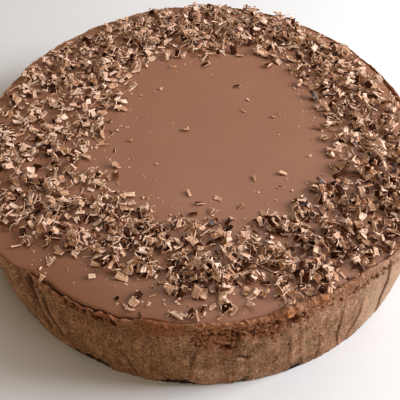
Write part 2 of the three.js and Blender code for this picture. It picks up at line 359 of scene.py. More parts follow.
# Directions where a stretch of the rim or wall begins, is full, falls away and ends. The stretch of
# painted highlight on the rim crest is counted from the far side.
LIP = (228, 231, 254, 258)
SKIN = (255, 261, 266, 271)
# Stretch of wall at the right that is painted paler: painted light where the wall faces the light at the
# right.
PAINTED_LIGHT_STRETCH = (306, 314, 322, 332)
# Stretch of wall at the front left that is painted darker: painted shade where the wall faces away from the
# light.
PAINTED_SHADE_STRETCH = (226, 244, 258, 274)
# Stretch of the rim crest at the right and back that is painted pale: painted highlight on its shaded inner
# face.
PAINTED_HIGHLIGHT_CREST = (165, 190, 240, 265)
FLAPS = [(286, 288.5, 291.5, 293.5), (295.2, 296.4, 298.4, 300)]
LIP_FLARE = 0.3 * MM
LIP_FLARE_RISE = (0.93, 0.98)
LIP_SHEET = 1.2 * MM
LIP_SHEET_RISE = 0.88
LIP_SHEET_HIGH = 0.016
LIP_UNEVEN = 0.012
LIP_GAP = 1.5 * MM
LIP_GAP_HIGH = 0.022
LIP_GAP_SHADE_HIGH = 0.034
LIP_WAVE = 1.3 * MM
LIP_LOWER = 0.2 * MM
LIP_STRIP_RISE = (0.955, 0.97)
SKIN_LOW = 0.83
SKIN_FADE = 0.07
SKIN_PROUD = 0.5 * MM
FLAP_ROLL = 1.4 * MM
FLAP_RISE = 0.9 * MM
# How far the rim drops, from the wall's edge across to the recess: as shares of its breadth, and drops.
RIM_PROFILE = ([0, 0.25, 0.6, 1], [WALL_SHOULDER, 0.4 * MM, 0, 0.5 * MM])
LIP_PROFILE = ([0, 0.12, 0.35, 0.5, 1], [0.5 * MM, 0, 0.1 * MM, 2 * MM, 2.6 * MM])
BUBBLES = 1500
BUBBLE_SIZE = (0.32 * MM, 0.95 * MM)
BUBBLE_BAND = (0.98, 0.64)
BUBBLE_TRIES = 12 * BUBBLES
BUBBLE_SEED = 5
PORES = 420
PORE_SIZE = (0.3 * MM, 0.6 * MM)
PORE_BAND = (0.06, 0.9)
FILLING_DARK = (0.215, 0.108, 0.056, 1)
FILLING_PALE = (0.345, 0.19, 0.112, 1)
# Colour of the pale specks, and also of the painted light on the right of the wall.
PALE_SPECK_AND_LIGHT = (0.5, 0.33, 0.22, 1)
# Tint of the painted shade on the wall at the front left.
SHADE_TINT = (0.74, 0.68, 0.58, 1)
SKIN_RED = (0.19, 0.062, 0.024, 1)
TORN_PINK = (0.36, 0.155, 0.08, 1)
TORN_PALE = (0.62, 0.35, 0.22, 1)
FLAP_RED = (0.15, 0.045, 0.015, 1)
FLAP_ORANGE = (0.58, 0.25, 0.1, 1)
# Colour of the torn sheets, and of the painted highlight on the rim crest.
SHEET_AND_HIGHLIGHT_PINK = (0.48, 0.235, 0.135, 1)
# Colour of the painted shade in holes, pits, creases and the gaps under the lip.
HOLLOW_SHADE_DARK = (0.055, 0.013, 0.004, 1)


def series(number, prime):
    """An evenly spread share from 0 to 1 for the item of that number, another one with each prime."""
    return ((number + 1) * math.sqrt(prime)) % 1


def along_rim(degrees, column):
    table = np.array(RIM)
    return MM * np.interp(degrees, table[:, 0], table[:, column], period=360)


def rim_radius(degrees):
    return TOP_RADIUS + along_rim(degrees, RIM_BULGE)


def rim_rise(degrees):
    crag = CRAG * (0.6 * cosine(17 * degrees + 40) + 0.4 * cosine(29 * degrees))
    return along_rim(degrees, RIM_RISE) + crag


def recess_radius(degrees):
    return rim_radius(degrees) - along_rim(degrees, RIM_BREADTH)


def wall_radius(degrees, rise):
    return blend(FOOT_RADIUS, rim_radius(degrees), rise) + WALL_BULGE * np.sin(np.pi * rise)


def on_polar(degrees, reach):
    return np.column_stack([reach * cosine(degrees), reach * sine(degrees)])


def stretch(degrees, *runs):
    """1 along one or more stretches of the rim, with soft ends."""
    return np.max([smooth_step(degrees, begin, full) * (1 - smooth_step(degrees, fall, end))
                   for begin, full, fall, end in runs], axis=0)


def hump(value, at, width):
    """1 at one value, falling away softly on both sides."""
    return np.exp(-(((value - at) / width) ** 2))


def column_directions():
    """Directions of the wall's columns, which lie closer together at the front and at the creases."""
    fine = np.arange(0, 360, 0.05)
    at_creases = np.max([peak(fine, crease[0], CREASE_SPREAD) for crease in creases], axis=0)
    closeness = 1 + FRONT_CLOSENESS * ((fine > FRONT[0]) & (fine < FRONT[1])) + CREASE_CLOSENESS * at_creases
    passed = np.append(0, np.cumsum(closeness))
    return np.interp(np.arange(WALL_COLUMNS) / WALL_COLUMNS, passed / passed[-1], np.append(fine, 360))


def lean_of_wall(direction):
    table = np.array(sorted((crease[0] % 360, crease[5]) for crease in creases))
    return np.interp(direction, table[:, 0], table[:, 1], period=360)


def crease_relief(direction, rise):
    """How far the creases go in, and the shade painted into them, at each point of the wall."""
    depth, shade = np.zeros((2, len(direction)))
    for at, deep, broad, foot, head, lean, proud_share in creases:
        turn = (direction - at + 180) % 360 - 180
        offset = np.radians(turn) * FOOT_RADIUS
        ends = smooth_step(rise, foot - CREASE_ENDS, foot + CREASE_ENDS)
        ends *= 1 - smooth_step(rise, head - CREASE_ENDS, head + CREASE_ENDS)
        groove = hump(offset, 0, broad * MM)
        proud = np.maximum(np.sign(proud_share) * offset, 0)
        swell = smooth_step(proud, 0, FOLD_BEGIN) * np.exp(-proud / FOLD_WIDTH)
        depth += deep * MM * ends * (GROOVE_SHARE * groove - abs(proud_share) * swell)
        shade = np.maximum(shade, ends * groove * min(deep / CREASE_DARK, 1) ** 1.5)
    return depth, shade


def wrinkle_relief(degrees, rise):
    """Fine upright wrinkles of the lining paper, which drift a little as they climb."""
    drift = 0.6 * cosine(5 * degrees + 30) + 0.5 * cosine(11 * degrees)
    relief = sum(size * MM * np.sin(np.radians(count * degrees) + climb * rise + 3 * drift)
                 for count, climb, size in WRINKLES)
    return relief * (0.5 + 0.5 * np.sin(3 * np.radians(degrees) + 1))


def tear_shade(degrees, rise):
    shade = np.zeros_like(degrees)
    for at, spread, strength, reach_down in TEARS:
        edge = reach_down * (1 + 0.3 * uneven_line(degrees, 23, 41, 67))
        inside = smooth_step(rise, 1 - 1.15 * edge, 1 - 0.6 * edge)
        shade = np.maximum(shade, strength * inside * smooth_step(peak(degrees, at, spread), 0, 0.45))
    return shade


def hole_relief(degrees, rise):
    """Depth of the single holes and slits, and the shade painted into them."""
    depth, shade = np.zeros((2, len(degrees)))
    for at, level, wide, high, deep in HOLES:
        across = np.radians(turn_between(degrees, at)) * FOOT_RADIUS / (wide * MM)
        up = (rise - level) * CAKE_HEIGHT / (high * MM)
        off_middle = across ** 2 + up ** 2
        depth = np.maximum(depth, deep * MM * hump(off_middle, 0, 1))
        shade = np.maximum(shade, hump(off_middle, 0, 1.6) * min(deep / HOLE_DARK, 1))
    return depth, shade


def lip_relief(degrees, rise):
    """Torn thin sheets that stand out under the ganache's lip, and the gaps over them with their shade."""
    run = stretch(degrees, LIP)
    uneven = LIP_UNEVEN * uneven_line(degrees, 47, 89, 131)
    gap, shade = np.zeros((2, len(degrees)))
    for at, half, level in LIP_GAPS:
        open_here = 1 - smooth_step(turn_between(degrees, at), 0.5 * half, half)
        gap = np.maximum(gap, open_here * hump(rise, level + uneven, LIP_GAP_HIGH))
        dark = hump(rise, level + uneven - 0.003, LIP_GAP_SHADE_HIGH)
        shade = np.maximum(shade, open_here * dark)
    sheet = run * hump(rise, LIP_SHEET_RISE + 1.2 * uneven, LIP_SHEET_HIGH)
    sheet *= np.clip(0.35 + uneven_line(degrees, 53, 89, 131), 0, 1)
    return sheet, gap, shade


def scatter_pits(count, band, size):
    return np.column_stack([
        bubble_draw.uniform(0, 360, count),
        CAKE_HEIGHT * blend(*band, bubble_draw.random(count)),
        blend(*size, bubble_draw.random(count) ** 2),
    ])


def dig(degrees, climb, pits):
    """Depth of round pits and the shade painted into them: direction, place up the wall and half breadth of
    each.
    """
    depth, shade = np.zeros((2, len(degrees)))
    for at, level, size in pits:
        near = np.flatnonzero((np.abs(climb - level) < size) & (turn_between(degrees, at) < 1))
        across = np.radians(turn_between(degrees[near], at)) * TOP_RADIUS
        inside = np.maximum(1 - (across ** 2 + (climb[near] - level) ** 2) / size ** 2, 0)
        depth[near] = np.maximum(depth[near], PIT_DEPTH * size * inside)
        shade[near] = np.maximum(shade[near], np.minimum(1.6 * inside, 1))
    return depth, shade


def set_shade(mesh, name, values, domain="POINT"):
    attribute = mesh.attributes.new(name, "FLOAT", domain)
    attribute.data.foreach_set("value", np.asarray(values, dtype=np.float32).ravel())


def set_group(piece, name, weights):
    group = piece.vertex_groups.new(name=name)
    for index in np.flatnonzero(weights > 0.01):
        group.add([int(index)], float(weights[index]), "REPLACE")


def read_shade(tree, name):
    return add_node(tree, "ShaderNodeAttribute", attribute_name=name).outputs["Fac"]


def add_ramp(tree, source, *stops):
    ramp = add_node(tree, "ShaderNodeValToRGB", {"Fac": source})
    elements = ramp.color_ramp.elements
    while len(elements) < len(stops):
        elements.new(0.5)
    for element, (position, colour) in zip(elements, stops):
        element.position = position
        element.color = colour
    return ramp.outputs["Color"]


def add_streaks(tree, place, scale, squeeze):
    """Noise drawn out along the axis that is squeezed."""
    squeezed = add_node(tree, "ShaderNodeMapping", {"Vector": place, "Scale": squeeze})
    return add_noise(tree, squeezed.outputs["Vector"], scale)


def product(tree, first, second):
    return add_node(tree, "ShaderNodeMath", {0: first, 1: second}, operation="MULTIPLY").outputs[0]


def grey(value):
    return (value, value, value, 1)


creases = list(CREASES)
for number in range(BACK_CREASES):
    place = (number + BACK_SCATTER * series(number, 2)) / BACK_CREASES
    sizes = [blend(*limits, series(number, prime)) for limits, prime in BACK_SIZES]
    creases.append((BACK_START + place * BACK_SPAN, *sizes, BACK_PROUD * (-1) ** number))

cheesecake = add_drum("cheesecake_filling", WALL_COLUMNS, FOOT_RADIUS, CAKE_HEIGHT)
select_upright_edges(cheesecake)
bpy.ops.mesh.subdivide(number_cuts=WALL_ROWS - 1)
select_top_face(cheesecake)
for ring in range(RIM_RINGS):
    bpy.ops.mesh.inset(thickness=RIM_INSET / RIM_RINGS)
bpy.ops.mesh.extrude_region_move(TRANSFORM_OT_translate={"value": (0, 0, -GANACHE_DEPTH)})
bpy.ops.object.mode_set(mode="OBJECT")

# Where each point lies: its direction, its rise up the wall and its share across the rim.
points = points_of(cheesecake)
even_direction, reach = polar(*points.T[:2])
column = np.round(even_direction * WALL_COLUMNS / 360)
direction = column_directions()[column.astype(int) % WALL_COLUMNS]
across = np.clip((FOOT_RADIUS - reach) / RIM_INSET, 0, 1)
on_wall = across < 0.01
in_recess = (points[:, 2] < CAKE_HEIGHT - 0.5 * GANACHE_DEPTH) & ~on_wall
rise = np.where(on_wall, 1 - (1 - points[:, 2] / CAKE_HEIGHT) ** ROW_CLOSENESS, 1)
wander = 0.3 * np.sin(5 * rise + 0.4 * direction) + 0.4 * np.sin(10 * rise + 0.4 * direction)
around = (direction + lean_of_wall(direction) * (rise - 0.5) + wander) % 360
climb = np.where(on_wall, rise * CAKE_HEIGHT, CAKE_HEIGHT + across * along_rim(around, RIM_BREADTH))

# What is creased, torn, skinned or rolled over there, and the bubbles and pores.
crease, crease_shade = crease_relief(direction, rise)
hole, hole_shade = hole_relief(around, rise)
sheet, gap, gap_shade = lip_relief(around, rise)
lip = stretch(around, LIP)
tear = tear_shade(around, rise) * ~in_recess
skin_edge = SKIN_LOW + 0.03 * uneven_line(around, 21, 43, 71)
skin = stretch(around, SKIN) * smooth_step(rise, skin_edge, skin_edge + SKIN_FADE) * ~in_recess
flap = stretch(around, *FLAPS) * (0.75 + 0.4 * uneven_line(around, 83, 131)) * ~in_recess
roll = flap * hump(rise, 1, 0.03)
bubble_draw = np.random.default_rng(BUBBLE_SEED)
tries = scatter_pits(BUBBLE_TRIES, BUBBLE_BAND, BUBBLE_SIZE)
torn_there = tear_shade(tries[:, 0], np.minimum(tries[:, 1] / CAKE_HEIGHT, 1))
bubbles = tries[bubble_draw.random(BUBBLE_TRIES) < torn_there][:BUBBLES]
pores = scatter_pits(PORES, PORE_BAND, PORE_SIZE)
pit, pit_shade = dig(around, climb, np.vstack([bubbles, pores]))
unrolled = roll < 0.4
pit *= ~in_recess & unrolled
pit_shade *= unrolled

# The new place of each point.
wall = wall_radius(around, rise) - crease - hole + wrinkle_relief(around, rise)
wall += LIP_FLARE * lip * smooth_step(rise, *LIP_FLARE_RISE) + LIP_SHEET * sheet - LIP_GAP * gap
wall += SKIN_PROUD * skin + FLAP_ROLL * roll - pit * on_wall
radius = np.where(on_wall, wall, blend(wall, recess_radius(around), across))
rim_level = CAKE_HEIGHT + rim_rise(around) + FLAP_RISE * flap
rim_level += lip * (LIP_WAVE * uneven_line(around, 41, 73, 127) - LIP_LOWER)
drop = blend(np.interp(across, *RIM_PROFILE), np.interp(across, *LIP_PROFILE), lip)
shoulder = blend(WALL_SHOULDER, LIP_PROFILE[1][0], lip)
foot_level = crumb_edge(around) + WALL_GAP
level = np.where(on_wall, blend(foot_level, rim_level - shoulder, rise), rim_level - drop - pit)
level = np.where(in_recess, CAKE_HEIGHT - GANACHE_DEPTH, level)
move_points(cheesecake, np.column_stack([on_polar(around, radius), level]))
tear *= 1 - 0.85 * skin
set_group(cheesecake, "tear", tear)
set_group(cheesecake, "surface", np.where(in_recess, 0, 1 - 0.7 * skin))
roughen(cheesecake, grain=7 * MM, depth=0.5 * MM, group="surface")
roughen(cheesecake, grain=2 * MM, depth=1.6 * MM, group="tear")
roughen(cheesecake, grain=1.1 * MM, depth=0.3 * MM, group="surface")
move_points(cheesecake, slump(points_of(cheesecake)))

# Shades that the material reads, among them painted shade and painted light.
rolled_edge = np.where(on_wall, roll, flap * (1 - smooth_step(across, 0.2, 0.55)))
# Painted highlight on the shaded inner face of the rim crest at the right and back.
crest_highlight = 0.7 * stretch((around + 180) % 360, PAINTED_HIGHLIGHT_CREST) * smooth_step(across, 0.1, 0.3) * ~in_recess
torn_strip = np.maximum(sheet, smooth_step(rise, *LIP_STRIP_RISE))
torn_edge = lip * np.where(on_wall, torn_strip, across < 0.4)
# Painted shade in the gaps under the torn lip and in the crevice under the ganache's lip.
opening_shade = np.maximum(gap_shade * on_wall, 0.8 * lip * smooth_step(across, 0.4, 0.55))
painted_hollow_shade = np.maximum.reduce([hole_shade, opening_shade, 0.9 * crease_shade, pit_shade])
shades = {
    "ripped": tear,
    "skin": skin,
    # Painted shade on the wall at the front left.
    "painted_shade": stretch(around, PAINTED_SHADE_STRETCH) * ~in_recess,
    # Painted light: the right of the wall, which faces the light at the right, is painted paler.
    "painted_light": stretch(around, PAINTED_LIGHT_STRETCH) * (1 - tear) * ~in_recess,
    "rolled": 0.9 * rolled_edge,
    # The sheet shade holds the torn sheets under the lip and the painted highlight on the rim crest.
    "sheet": np.maximum(torn_edge, crest_highlight),
    # Painted shade in holes, pits, creases and gaps.
    "painted_hollow_shade": painted_hollow_shade * ~in_recess,
}
for name, values in shades.items():
    set_shade(cheesecake.data, name, values)
bpy.ops.object.shade_smooth()

filling_material, tree, shader = new_material("baked_filling")
body = place_group(tree, cloudy, Scale=90, Detail=4, Roughness=0.6, Dark=FILLING_DARK, Pale=FILLING_PALE)
body = body["Colour"]
grain = place_group(tree, cloudy, Scale=1000, Roughness=0.75, Dark=grey(0.38), Pale=grey(1.64))["Colour"]
place = own_place(tree)
blotches = add_streaks(tree, place, 300, squeeze=(1, 1, 0.5))
blotches = add_ramp(tree, blotches, (0.36, grey(0.82)), (0.64, grey(1.19)))
lines = add_streaks(tree, place, 420, squeeze=(1, 1, 0.06))
lines = add_ramp(tree, lines, (0.46, grey(1)), (0.495, grey(0.7)), (0.53, grey(1)))
for pattern in (grain, blotches, lines):
    body = mix_colour(tree, 1.0, body, pattern, "MULTIPLY")
cells = add_node(tree, "ShaderNodeTexVoronoi", {"Vector": place, "Scale": 520}).outputs
specks = add_ramp(tree, cells["Distance"], (0.08, grey(1)), (0.34, grey(0)))
chosen = add_ramp(tree, cells["Color"], (0.45, grey(1)), (0.51, grey(0)))
body = mix_colour(tree, product(tree, specks, chosen), body, PALE_SPECK_AND_LIGHT)
# Painted light: the right of the wall is mixed half way to pale where it faces the light.
body = mix_colour(tree, product(tree, read_shade(tree, "painted_light"), 0.5), body, PALE_SPECK_AND_LIGHT)
# Painted shade: the front left of the wall is darkened, as it faces away from the key light.
shade_tint = mix_colour(tree, read_shade(tree, "painted_shade"), grey(1), SHADE_TINT)
body = mix_colour(tree, 1.0, body, shade_tint, "MULTIPLY")
skin_tone = mix_colour(tree, 1.0, SKIN_RED, grain, "MULTIPLY")
torn = place_group(tree, cloudy, Scale=620, Detail=4, Roughness=0.65)["Height"]
torn_tone = add_ramp(tree, torn, (0.4, SKIN_RED), (0.6, TORN_PINK), (0.72, TORN_PALE))
flap_tone = place_group(tree, cloudy, Scale=560, Roughness=0.6, From=0.4, To=0.62, Dark=FLAP_RED,
                        Pale=FLAP_ORANGE)
# Tone of the torn sheets and of the painted highlight on the rim crest.
sheet_and_highlight_tone = place_group(tree, cloudy, Scale=420, Roughness=0.6, From=0.42, To=0.64, Dark=SKIN_RED,
                         Pale=SHEET_AND_HIGHLIGHT_PINK)
for shade, share, tone in [
    ("skin", 0.75, skin_tone),
    ("ripped", 0.8, torn_tone),
    ("rolled", 1, flap_tone["Colour"]),
    # Torn sheets, and the painted highlight on the rim crest.
    ("sheet", 1, sheet_and_highlight_tone["Colour"]),
    # Painted shade in the hollows.
    ("painted_hollow_shade", 1, HOLLOW_SHADE_DARK),
]:
    body = mix_colour(tree, product(tree, read_shade(tree, shade), share), body, tone)
fine = place_group(tree, cloudy, Scale=1300, Roughness=0.6)["Height"]
fine_relief = add_bump(tree, fine, distance=0.5 * MM, strength=0.6)
filling_relief = add_bump(tree, lines, distance=0.35 * MM, strength=0.6, below=fine_relief)
finish_material(tree, shader, body, filling_relief, roughness=0.75, specular=0.05)
cheesecake.data.materials.append(filling_material)
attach(cheesecake, "root")
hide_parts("cheesecake")

# Ganache
# Chocolate and cream poured over the chilled filling, where it set smooth with a satin gloss. It lies
# inside the torn rim, and at one side it has run out over the low rim in a thin rounded lip.
GANACHE_COLUMNS = 480
GANACHE_ROUND = 1.2 * MM
GANACHE_ROUND_STEPS = 5
GANACHE_RINGS = 26
EDGE_TUCK = 0.1 * MM
EDGE_RIPPLE = 0.22 * MM
LIP_CREVICE = 0.5 * MM
UNDERCUT = 0.9 * MM
DROOP = (0.4 * MM, 1.6 * MM)
DROOP_DIRECTION = 236
DROOP_SPREAD = 60
CRESCENT_DIRECTION = 248
# Spread and tint of the painted shade on the pour's front crescent.
CRESCENT_SHADE_SPREAD = 34
GANACHE_BROWN = (0.248, 0.1, 0.05, 1)
GANACHE_PALE = (0.27, 0.113, 0.058, 1)
CRESCENT_SHADE_TINT = (0.8, 0.76, 0.7, 1)


def ganache_droop(degrees, reach):
    """How far the pour sinks towards its edge, most of all where it has run out over the rim."""
    sunk = blend(*DROOP, smooth_step(peak(degrees, DROOP_DIRECTION, DROOP_SPREAD), 0, 0.8))
    return sunk * smooth_step(reach / recess_radius(degrees), 0.85, 1.04)


ganache = add_drum("ganache_top", GANACHE_COLUMNS, TOP_RADIUS, GANACHE_DEPTH)
bpy.ops.object.mode_set(mode="EDIT")
select_top_face(ganache)
for ring in range(GANACHE_RINGS):
    bpy.ops.mesh.inset(thickness=TOP_RADIUS / (GANACHE_RINGS + 1))
bpy.ops.object.mode_set(mode="OBJECT")
modifier = ganache.modifiers.new("rounded_lip", "BEVEL")
modifier.width = GANACHE_ROUND
modifier.segments = GANACHE_ROUND_STEPS
modifier.limit_method = "ANGLE"
modifier.angle_limit = math.radians(60)
bpy.ops.object.modifier_apply(modifier=modifier.name)
points = points_of(ganache)
around, reach = polar(*points.T[:2])
reach /= TOP_RADIUS
ripple = EDGE_RIPPLE * (cosine(13 * around) + cosine(31 * around + 50) + 0.7 * cosine(53 * around))
edge = recess_radius(around) + EDGE_TUCK + ripple
drawn_back = np.clip(0.5 + 0.8 * uneven_line(around, 29, 47, 71), 0, 1)
edge -= LIP_CREVICE * stretch(around, LIP) * drawn_back
edge -= UNDERCUT * smooth_step(GANACHE_DEPTH - points[:, 2], 1.1 * GANACHE_ROUND, 1.9 * GANACHE_ROUND)
points[:, :2] = on_polar(around, reach * edge)
points[:, 2] += CAKE_HEIGHT - GANACHE_DEPTH - ganache_droop(around, reach * edge) * (points[:, 2] > 0)
move_points(ganache, points)
# Painted shade: the front crescent of the pour, by its edge, is painted darker and kept in the sunk shade.
in_shaded_crescent = smooth_step(peak(around, CRESCENT_DIRECTION, CRESCENT_SHADE_SPREAD), 0, 0.6)
set_shade(ganache.data, "sunk", in_shaded_crescent * smooth_step(reach, 0.8, 0.97))
roughen(ganache, grain=28 * MM, depth=0.25 * MM)
move_points(ganache, slump(points_of(ganache)))
bpy.ops.object.shade_smooth()

ganache_material, tree, shader = new_material("set_ganache")
pour = place_group(tree, cloudy, Scale=35, Detail=4, From=0.3, To=0.7, Dark=GANACHE_BROWN, Pale=GANACHE_PALE)
# Painted shade on the pour's front crescent.
crescent_shade_tone = mix_colour(tree, read_shade(tree, "sunk"), grey(1), CRESCENT_SHADE_TINT)
pour_tone = mix_colour(tree, 1.0, pour["Colour"], crescent_shade_tone, "MULTIPLY")
gloss = place_group(tree, cloudy, Scale=60, Detail=5, From=0.3, To=0.7, Dark=grey(0.4), Pale=grey(0.52))
fine = place_group(tree, cloudy, Scale=300)["Height"]
pour_relief = add_bump(tree, fine, distance=0.15 * MM, strength=0.12)
finish_material(tree, shader, pour_tone, pour_relief, roughness=gloss["Colour"], specular=0.55)
ganache.data.materials.append(ganache_material)
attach(ganache, "root")
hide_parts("ganache")

# Shaved flakes
# Chips, curls and splinters scraped off a block of dark chocolate and strewn in a broad ring. The
# scraped face is pale and ridged, the back is dark and smooth, and the broken edges are pale.
# How many there are of each kind, then the limits of length, width, thickness and turn in radians.
BIG = (262, (4 * MM, 6.8 * MM), (2 * MM, 3.8 * MM), (0.5 * MM, 0.8 * MM), (0.1, 0.9))
CHIPS = (1500, (2.5 * MM, 5.2 * MM), (1.5 * MM, 3 * MM), (0.4 * MM, 0.85 * MM), (0.05, 0.7))
CURLS = (130, (4 * MM, 8 * MM), (1.2 * MM, 2.6 * MM), (0.3 * MM, 0.45 * MM), (1.4, 4.6))
SHAVINGS = (1300, (1.6 * MM, 3.4 * MM), (0.9 * MM, 1.9 * MM), (0.25 * MM, 0.6 * MM), (0.05, 0.8))
SPLINTERS = (1000, (2.4 * MM, 6.4 * MM), (0.45 * MM, 1 * MM), (0.35 * MM, 0.65 * MM), (0.05, 0.5))
CRUMBS = (1600, (0.5 * MM, 2.2 * MM), (0.4 * MM, 1 * MM), (0.2 * MM, 0.6 * MM), (0.05, 0.6))
BIG_PITCH = (8, 38)
BIG_ROLL = (-14, 14)
BIG_JITTER = (-3, 3)
BIG_SINK = 0.7 * MM
BIG_EDGE_MARGIN = 1.3 * MM
BIG_BACK_UP = 0.48
GOLDEN_ANGLE = 137.508
TILT = 0.2
SIDE_TILT = 0.28
BACK_UP_SHARE = (0.15, 0.34)
BARED_BORDERS = 0.26
BORDER = 0.13
EDGE_THINNED = 0.6
LANE_LIFT = 0.14
SKEW = 0.1
TAPER = 0.3
TONE_SPREAD = 0.06
RAISED_SHARE = 0.6
FLAKE_SEED = 11
# Inner edge of the ring: direction and radius, in millimetres.
RING_INNER = [
    (0, 69), (27, 67), (49, 75), (69, 67), (86, 61), (106, 65), (118, 63), (130, 52),
    (151, 43), (178, 41), (200, 57), (218, 49), (240, 54), (270, 60), (309, 66), (335, 72),
]
RING_INNER_FADE = (-7 * MM, 18 * MM)
RING_OUTER_FADE = (-6 * MM, 2 * MM)
RING_OUTER = 0.97
# Direction, spread and size: the bare crescent, the bare pool at the front and the thin side.
CRESCENT = (CRESCENT_DIRECTION, 30, 0.13)
POOL = (281, 7, 7 * MM)
THIN_SIDE = (178, 40, 0.44)
# Loose flakes off the ring: place, length and width in millimetres, heading, and 1 if the dark side is up.
LOOSE = [
    (-4.9, 0.5, 3.4, 2.4, 20, 0), (-19.4, 33.3, 2, 1.6, 70, 0), (6, 53.4, 4.6, 3.4, 40, 1),
    (23.2, 33.7, 3.6, 2, 160, 1), (-10.5, 61.2, 5, 3.4, 80, 1), (-2.8, -42.9, 3.4, 1.6, 110, 0),
    (11.1, -46.3, 4, 2, 150, 0), (2.5, -49.2, 4.4, 1.6, 10, 1), (7.7, -54, 3.4, 2.4, 60, 0),
    (-1.7, -60.3, 4.6, 0.9, 130, 0), (21.9, -51.4, 3.6, 1.4, 30, 0), (29, -34.1, 3.4, 1.2, 100, 0),
    (43.4, -31.2, 4, 1.8, 170, 0), (41.8, 51.3, 4.2, 3, 50, 1), (-39.2, -24.7, 4.4, 2, 140, 0),
    (-81.3, -71.7, 4, 1, 20, 0), (-76.2, -69.6, 5, 1.3, 120, 1), (-63.5, -80.6, 5, 1.6, 45, 0),
    (-67.2, -87.9, 3, 2, 75, 0), (-44.6, -88.7, 3, 2, 15, 0), (-25.4, -101.4, 3.7, 3.6, 40, 0),
    (-23.8, -98.3, 3.6, 3, 50, 1), (-28.2, -103.6, 5.5, 0.9, -43, 0), (-19.4, -102.2, 2.2, 1.4, 60, 0),
    (-9.5, -96.2, 6, 1.5, -7, 0), (-5.6, -99.4, 3.4, 2.6, 30, 1), (1.2, -98.2, 5.6, 3.6, 60, 0),
    (-6.7, -107.6, 6.4, 2.4, -35, 0), (-0.6, -106.8, 4.4, 2.4, -67, 1), (1.4, -108.6, 4.4, 1.1, -74, 0),
    (3.9, -104.8, 3.4, 1.2, 56, 1), (7.5, -104.3, 3.4, 1.8, 42, 0), (14.3, -102.2, 6, 1.2, -39, 0),
    (13.7, -104.8, 4.4, 3.4, 20, 1), (16.8, -106.3, 4, 1.6, 52, 0), (10.7, -108.6, 3.2, 1.2, 44, 0),
    (22.1, -97.1, 4.4, 2.4, 80, 0), (-25.8, 59, 4.6, 3, 35, 0), (-28.4, 52.7, 2.4, 1.6, 95, 0),
]
LOOSE_TONE = (0.15, 0.75)
LOOSE_TURN = (0.1, 0.6)
STRAY_CRUMBS = 44
STRAYS = (222, 300)
DUST = 130
DUST_DRIFT = 7 * MM
GATHERED = 40
GATHERED_SPREAD = 1.9 * MM
BARE_FRONT = -80
LOOSE_CRUMB_TONE = (0.5, 1)
LOOSE_CRUMB_SCALE = 0.7
CLUMP_WAVES = 18
CLUMP_LENGTH = (9 * MM, 26 * MM)
EDGE_CLEARANCE = 1.5 * MM
RIM_STREWN = [(288, 297, 335, 350), (48, 60, 92, 99)]
STREWN_PAST = 3.5 * MM
SPARSEST = 0.004
HEAP_CELL = 0.5 * MM
HEAP_HALF = 250
FOOTPRINT_STEPS = (13, 7)
STEEPEST = 0.8
RESTING_SHARE = 0.9
SCRAPED_DARK = (0.31, 0.125, 0.05, 1)
SCRAPED_TAN = (0.58, 0.315, 0.18, 1)
SCRAPED_PALE = (0.86, 0.6, 0.45, 1)
EDGE_PALE = (0.9, 0.66, 0.5, 1)
BACK_BLACK = (0.018, 0.004, 0.001, 1)
BACK_BROWN = (0.09, 0.024, 0.006, 1)


def ring_inner(degrees):
    direction, radius = np.array(RING_INNER).T
    return MM * np.interp(degrees, direction, radius, period=360)


def notch(degrees, direction, spread, size):
    return size * hump(turn_between(degrees, direction), 0, spread)


def ring_outer(degrees):
    return rim_radius(degrees) * (RING_OUTER - notch(degrees, *CRESCENT))


def flake_density(x, y):
    """Share of flakes kept at a place on the top: the ring, its soft edges, clumps and strays."""
    degrees, reach = polar(x, y)
    inner_begin, inner_full = (ring_inner(degrees) + fade for fade in RING_INNER_FADE)
    outer = ring_outer(degrees) - notch(degrees, *POOL)
    outer_full, outer_end = (outer + fade for fade in RING_OUTER_FADE)
    strewn = STREWN_PAST * stretch(degrees, *RIM_STREWN)
    ring = smooth_step(reach, inner_begin, inner_full)
    ring *= 1 - notch(degrees, *THIN_SIDE)
    ring *= 1 - smooth_step(reach - strewn, outer_full, outer_end)
    clumps = sum(np.sin(x * a + y * b + c) for a, b, c in clump_waves) / math.sqrt(CLUMP_WAVES / 2)
    ring *= np.clip(0.7 + 0.3 * clumps, 0.2, 1)
    on_top = reach < recess_radius(degrees) - EDGE_CLEARANCE + strewn
    return np.where(on_top, np.maximum(ring, SPARSEST), 0)


def scatter(count):
    """Places for that many flakes, as the density asks."""
    kept = np.empty((0, 2))
    while len(kept) < count:
        tries = draw.uniform(-1.05 * TOP_RADIUS, 1.05 * TOP_RADIUS, (4 * count, 2))
        kept = np.vstack([kept, tries[draw.random(len(tries)) < flake_density(*tries.T)]])
    return kept[:count]


def drawn_between(limits, count):
    return blend(limits[0], limits[1], draw.random(count) ** 1.3)


def make_flakes(count, length, width, thick, turn):
    """The sizes of one kind of flake, each drawn between two limits, and where they fall."""
    place = scatter(count)
    towards_front = smooth_step(-place[:, 1], 0, TOP_RADIUS / 2)
    return {
        "place": place,
        "heading": draw.uniform(0, 2 * np.pi, count),
        "length": drawn_between(length, count),
        "width": drawn_between(width, count),
        "thick": drawn_between(thick, count),
        "turn": drawn_between(turn, count),
        "twist": draw.normal(0, TILT, count),
        "pitch": draw.normal(0, TILT, count),
        "roll": draw.normal(0, SIDE_TILT, count),
        "tone": draw.random(count),
        "back_up": draw.random(count) < blend(*BACK_UP_SHARE, towards_front),
        "rest": np.zeros((count, 3)),
    }


